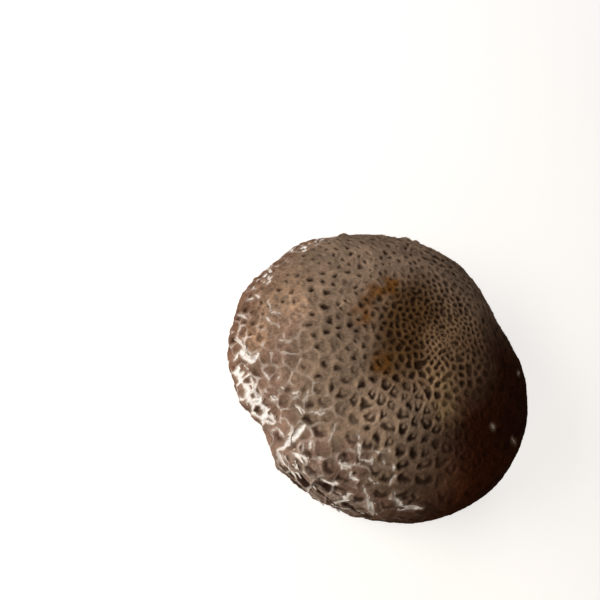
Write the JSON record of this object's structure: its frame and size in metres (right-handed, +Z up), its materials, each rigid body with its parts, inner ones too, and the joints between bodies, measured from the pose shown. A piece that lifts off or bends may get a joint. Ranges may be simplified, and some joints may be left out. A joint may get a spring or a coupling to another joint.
{
  "type": "portobello mushroom",
  "caption": "Whole portobello mushroom: a broad brown cap with pitted, scaly skin, close dark gills under it and a short stem cut off flush.",
  "frame": {"origin": "middle of the stem's flat cut face, which lies on the table", "axes": "+Z straight up through the cap; +Y towards the side the top of the cap leans to; +X to the right of it, seen from the side opposite to +Y"},
  "size_m": [0.1204, 0.1124, 0.045],
  "materials": {
    "cap_skin": "matte",
    "gill_tissue": "matte",
    "stem_flesh": "matte"
  },
  "bodies": {
    "root": {"cap": "cap_skin", "gills": "gill_tissue", "stem": "stem_flesh"}
  },
  "joints": []
}
